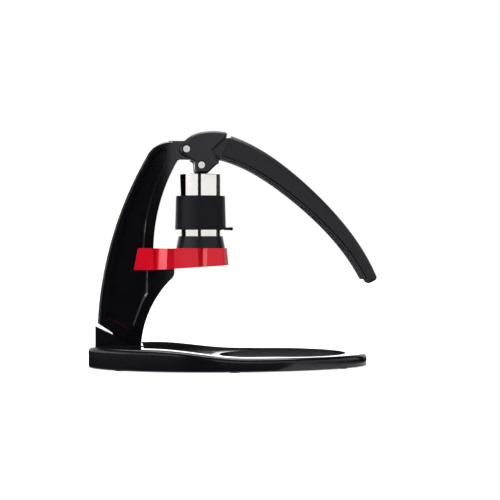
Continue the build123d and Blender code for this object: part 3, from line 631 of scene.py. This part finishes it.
@dataclass
class BrewingHead:
    """Polished cylinder, its sleeve, the portafilter and what lies inside."""

    shop: Workshop

    # Cylinder: a tube with a narrower spigot below, both rims of its top rounded
    cylinder_radius: float = 23.0
    cylinder_bore: float = 20.0
    cylinder_top: float = 207.9
    spigot_radius: float = 21.3
    spigot_bottom: float = 137.2
    collar_top: float = 141.2
    rim_reach: float = 0.5
    rim_depth: float = 0.15

    # Sleeve: tapers upwards between two roundings, its bore clear of the cylinder by the gap
    sleeve_bottom: float = 148.0
    sleeve_top: float = 184.7
    sleeve_base_radius: float = 27.5
    sleeve_top_radius: float = 26.5
    sleeve_gap: float = 0.05
    base_reach: float = 0.7
    base_depth: float = 0.2
    top_reach: float = 1.2
    top_depth: float = 0.4
    mouth_bevel: float = 0.4
    # An extra ring this far from each rounding keeps the shading of the wall even
    support: float = 0.6

    # Pull tab: a flat tongue that leaves the sleeve's lower edge and ends in a thick bead
    tab_root: float = 2.0
    tab_end: float = 33.2
    tab_width: float = 12.0
    tab_thickness: float = 3.0
    tab_sink: float = 0.5
    tab_round: float = 0.6
    tab_segments: int = 3
    bead_radius: float = 1.8
    bead_round: float = 1.62
    bead_segments: int = 5

    def cylinder(self) -> bmesh.types.BMesh:
        """Turn the cylinder with its spigot and rounded rim.

        Returns:
            The turned cylinder.
        """
        outer_rim = (self.cylinder_radius, self.cylinder_top)
        inner_rim = (self.cylinder_bore, self.cylinder_top)
        return lathe(
            [
                (self.cylinder_bore, self.spigot_bottom),
                (self.spigot_radius, self.spigot_bottom),
                (self.spigot_radius, self.collar_top),
                (self.cylinder_radius, self.collar_top),
                (self.cylinder_radius, self.cylinder_top - 2 * self.rim_reach),
                *eased(outer_rim, (-1, -1), self.rim_reach, self.rim_depth),
                *reversed(eased(inner_rim, (1, -1), self.rim_reach, self.rim_depth)),
            ]
        )

    def add_tab(self, mesh: bmesh.types.BMesh) -> None:
        """Add the pull tab and its bead to the sleeve.

        Args:
            mesh: The bmesh of the sleeve.
        """
        half = self.tab_width / 2
        start = BREW_X + self.sleeve_base_radius - self.tab_root
        end = BREW_X + self.tab_end
        low = self.sleeve_bottom - self.tab_sink
        add_block(
            mesh,
            (start, -half, low),
            (end, half, low + self.tab_thickness),
            self.tab_round,
            self.tab_segments,
        )
        middle = low + self.tab_thickness / 2
        add_block(
            mesh,
            (end - self.bead_radius, -half, middle - self.bead_radius),
            (end + self.bead_radius, half, middle + self.bead_radius),
            self.bead_round,
            self.bead_segments,
        )

    def sleeve(self) -> bmesh.types.BMesh:
        """Turn the sleeve and add its pull tab.

        Returns:
            The sleeve with its tab.
        """
        bore = self.cylinder_radius + self.sleeve_gap
        base = (self.sleeve_base_radius, self.sleeve_bottom)
        top = (self.sleeve_top_radius, self.sleeve_top)
        wall_low = self.sleeve_bottom + self.base_reach
        wall_high = self.sleeve_top - self.top_reach
        slope = (self.sleeve_base_radius - self.sleeve_top_radius) / (wall_high - wall_low)
        draw = self.support * slope
        mesh = lathe(
            [
                (bore, self.sleeve_bottom),
                *reversed(eased(base, (-1, 1), self.base_reach, self.base_depth)),
                (self.sleeve_base_radius - draw, wall_low + self.support),
                (self.sleeve_top_radius + draw, wall_high - self.support),
                *eased(top, (-1, -1), self.top_reach, self.top_depth),
                (bore + self.mouth_bevel, self.sleeve_top),
                (bore, self.sleeve_top - self.mouth_bevel),
            ]
        )
        self.add_tab(mesh)
        return mesh

    def build(self) -> None:
        """Make and dress the head's pieces."""
        self.shop.piece(
            self.cylinder(),
            StandIn(
                "polished_cylinder",
                "brew_cylinder",
                Body.BREW_HEAD,
                "cylinder_steel",
                Finishes.cylinder_steel,
            ),
        )
        self.shop.piece(
            self.sleeve(),
            StandIn(
                "rubber_sleeve",
                "thermal_sleeve",
                Body.BREW_HEAD,
                "sleeve_rubber",
                Finishes.sleeve_rubber,
            ),
        )
        self.shop.dress_nodes(
            {
                "portafilter": Finishes.portafilter_nylon,
                "portafilter_basket": Finishes.basket_steel,
                "dispersion_screen": Finishes.basket_steel,
                "cylinder_gasket": Finishes.seal_rubber,
                "plunger_piston": Finishes.acetal,
                "piston_seals": Finishes.seal_rubber,
                "plunger_stem": Finishes.cylinder_steel,
                "plunger_cap": Finishes.acetal,
            }
        )


@dataclass(frozen=True)
class Lamp:
    """A rectangular softbox, seen in the maker's gloss only where mirrored is set.

    Its place and size are in metres and its power in watts.
    """

    name: str
    place: Place
    width: float
    height: float
    power: float
    mirrored: bool = False


@dataclass(frozen=True)
class Flag:
    """A curved dark card round the maker that only reflections see.

    Its azimuths are in degrees from the front towards the left. Its inner and outer edges are
    given by their radius and height in metres.
    """

    name: str
    first: float
    last: float
    inner: Corner
    outer: Corner

    def mesh(self) -> bmesh.types.BMesh:
        """Sweep the line from the inner to the outer edge between the azimuths.

        Returns:
            The curved card.
        """
        card = bmesh.new()
        turn = math.radians(self.first)
        centre = BREW_X * MM
        corners = [
            card.verts.new((centre - radius * math.sin(turn), -radius * math.cos(turn), height))
            for radius, height in (self.inner, self.outer)
        ]
        edge = card.edges.new(corners)
        bmesh.ops.spin(
            card,
            geom=[*corners, edge],
            cent=(centre, 0.0, 0.0),
            axis=(0.0, 0.0, 1.0),
            angle=-math.radians(self.last - self.first),
            steps=CARD_STEPS,
            use_merge=False,
        )
        return card


@dataclass
class Studio:
    """Camera, floor, soft lights and the dark cards that shape the reflections, in metres."""

    camera_place: Place = (-0.1436, -1.5415, 0.1530)
    camera_aim: Place = (0.10451, 0.99437, -0.01745)
    # Focal length and sensor width are in millimetres, as Blender takes them
    lens: float = 102.8
    sensor_width: float = 36.0
    nearest: float = 0.05
    farthest: float = 30.0
    floor_half: float = 6.0
    floor_colour: str = "ededed"
    card_colour: str = "161618"
    white: str = "ffffff"
    # Light that the floor adds for the camera alone, so that it shows nearly white
    floor_glow: float = 0.74
    # Level of the surround where it lights the maker
    fill: float = 0.32
    lamp_target: Place = (0.0, 0.0, 0.12)
    lamps: tuple[Lamp, ...] = (
        # Main light, from the upper left
        Lamp("key_softbox", (-1.9, -1.0, 1.0), 1.3, 1.7, 40.0),
        # Faint light on the sides that face right
        Lamp("side_softbox", (1.55, -1.2, 0.9), 1.2, 1.6, 3.0),
        # Sheen on the top of the base's rim, on the knuckle and on the grip's root
        Lamp("overhead_softbox", (-0.05, 0.2, 1.15), 1.0, 1.0, 16.0, mirrored=True),
        # White band on the top of the base's near rim
        Lamp("rear_softbox", (-0.1, 2.3, 0.5), 2.0, 1.1, 14.0, mirrored=True),
        # Bright facets of the bracket
        Lamp("left_strip", (-2.22, -0.38, 0.43), 1.8, 0.17, 4.0, mirrored=True),
    )
    flags: tuple[Flag, ...] = (
        # Dark stripe down the middle of the cylinder, and the dark sides of the post
        Flag("front_flag", 1.2, 18.0, (0.52, 0.0), (0.52, 0.6)),
        # Darker facets of the bracket
        Flag("facet_flag", -90.0, -18.0, (2.2, 0.34), (2.2, 0.66)),
        # Dark stripe at the right of the cylinder
        Flag("right_flag", -127.0, -103.0, (2.4, 0.0), (2.4, 2.2)),
        # Dark roof, open at the rear, that keeps the upper sides of grip and base dark
        Flag("canopy", -150.0, 150.0, (0.0, 1.2), (2.4, 1.6)),
        # Dark table near the maker, mirrored in the base's outer wall
        Flag("table_flag", -45.0, 225.0, (0.0, 0.002), (0.52, 0.002)),
        # The same at the right, where it starts further out
        Flag("right_table_flag", -135.0, -45.0, (0.2, 0.002), (0.52, 0.002)),
        # Dark strip of table behind, for the underside of the lever
        Flag("rear_table_flag", 172.0, 200.0, (0.55, 0.002), (3.4, 0.002)),
    )

    def add(self, name: str, data: bpy.types.ID) -> bpy.types.Object:
        """Link an object with the given data to the scene.

        Args:
            name: The object's name.
            data: Its camera, light or mesh.

        Returns:
            The new object.
        """
        made = bpy.data.objects.new(name, data)
        bpy.context.scene.collection.objects.link(made)
        return made

    def aim(self, made: bpy.types.Object, place: Place, direction: Vector) -> None:
        """Put a camera or lamp in its place and point it.

        Args:
            made: The camera's or lamp's object.
            place: Where it stands.
            direction: Where it points.
        """
        made.location = place
        made.rotation_mode = "QUATERNION"
        made.rotation_quaternion = direction.to_track_quat("-Z", "Y")

    def stage_mesh(
        self, name: str, mesh: bmesh.types.BMesh, material: bpy.types.Material
    ) -> bpy.types.Object:
        """Turn a bmesh into a piece of the studio.

        Args:
            name: The piece's name.
            mesh: Its shape, in metres, which is freed here.
            material: Its material.

        Returns:
            The piece of the studio.
        """
        data = bpy.data.meshes.new(name)
        mesh.to_mesh(data)
        mesh.free()
        data.materials.append(material)
        made = self.add(name, data)
        return made

    def camera(self) -> None:
        """Set the camera at the photograph's viewing angle."""
        data = bpy.data.cameras.new("studio_camera")
        data.sensor_width = self.sensor_width
        data.lens = self.lens
        data.clip_start = self.nearest
        data.clip_end = self.farthest
        camera = self.add("studio_camera", data)
        self.aim(camera, self.camera_place, Vector(self.camera_aim))
        bpy.context.scene.camera = camera

    def floor(self) -> None:
        """Lay a plain white floor that keeps the maker's shadow."""
        mesh = bmesh.new()
        bmesh.ops.create_grid(mesh, x_segments=1, y_segments=1, size=self.floor_half)
        material = bpy.data.materials.new("white_floor")
        tree = clean_tree(material)
        rays = add_node(tree, "ShaderNodeLightPath")
        level = add_node(
            tree,
            "ShaderNodeMath",
            settings={"operation": "MULTIPLY"},
            links={0: rays.outputs["Is Camera Ray"]},
            values={1: self.floor_glow},
        )
        lit = add_node(tree, "ShaderNodeBsdfDiffuse", values={"Color": linear(self.floor_colour)})
        glow = add_node(
            tree,
            "ShaderNodeEmission",
            values={"Color": linear(self.white)},
            links={"Strength": level.outputs["Value"]},
        )
        shown = add_node(
            tree,
            "ShaderNodeAddShader",
            links={0: lit.outputs["BSDF"], 1: glow.outputs["Emission"]},
        )
        add_node(tree, "ShaderNodeOutputMaterial", links={"Surface": shown.outputs["Shader"]})
        self.stage_mesh("studio_floor", mesh, material)

    def world(self) -> None:
        """Give a grey surround that the camera, gloss and clear pieces see as white."""
        world = bpy.data.worlds.new("studio_world")
        bpy.context.scene.world = world
        tree = clean_tree(world)
        rays = add_node(tree, "ShaderNodeLightPath")
        mirrored = add_node(
            tree,
            "ShaderNodeMath",
            settings={"operation": "MAXIMUM"},
            links={0: rays.outputs["Is Glossy Ray"], 1: rays.outputs["Is Transmission Ray"]},
        )
        seen = add_node(
            tree,
            "ShaderNodeMath",
            settings={"operation": "MAXIMUM"},
            links={0: rays.outputs["Is Camera Ray"], 1: mirrored.outputs["Value"]},
        )
        level = add_node(
            tree,
            "ShaderNodeMapRange",
            values={"To Min": self.fill, "To Max": 1.0},
            links={"Value": seen.outputs["Value"]},
        )
        back = add_node(
            tree,
            "ShaderNodeBackground",
            values={"Color": linear(self.white)},
            links={"Strength": level.outputs["Result"]},
        )
        add_node(tree, "ShaderNodeOutputWorld", links={"Surface": back.outputs["Background"]})

    def lights(self) -> None:
        """Hang the softboxes, each turned towards the maker."""
        for lamp in self.lamps:
            data = bpy.data.lights.new(lamp.name, "AREA")
            data.shape = "RECTANGLE"
            data.size = lamp.width
            data.size_y = lamp.height
            data.energy = lamp.power
            made = self.add(lamp.name, data)
            self.aim(made, lamp.place, Vector(self.lamp_target) - Vector(lamp.place))
            made.visible_camera = False
            made.visible_glossy = lamp.mirrored

    def dark_cards(self) -> None:
        """Stand the dark cards that give polished metal and gloss paint their dark areas."""
        material = bpy.data.materials.new("black_card")
        tree = clean_tree(material)
        dark = add_node(tree, "ShaderNodeEmission", values={"Color": linear(self.card_colour)})
        add_node(tree, "ShaderNodeOutputMaterial", links={"Surface": dark.outputs["Emission"]})
        for flag in self.flags:
            card = self.stage_mesh(flag.name, flag.mesh(), material)
            card.visible_camera = False
            card.visible_diffuse = False
            card.visible_shadow = False
            card.visible_transmission = False

    def build(self) -> None:
        """Set up the whole studio."""
        self.camera()
        self.floor()
        self.world()
        self.lights()
        self.dark_cards()
        bpy.context.scene.view_settings.view_transform = "Standard"


def main() -> None:
    """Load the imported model, dress it and set it in the studio."""
    logging.basicConfig(level=logging.INFO, format="%(message)s")
    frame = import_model()
    shop = Workshop(frame["nodes"])
    BaseUnit(shop).build()
    PostUnit(shop).build()
    LeverUnit(shop).build()
    BrewingHead(shop).build()
    Studio().build()


if __name__ == "__main__":
    main()
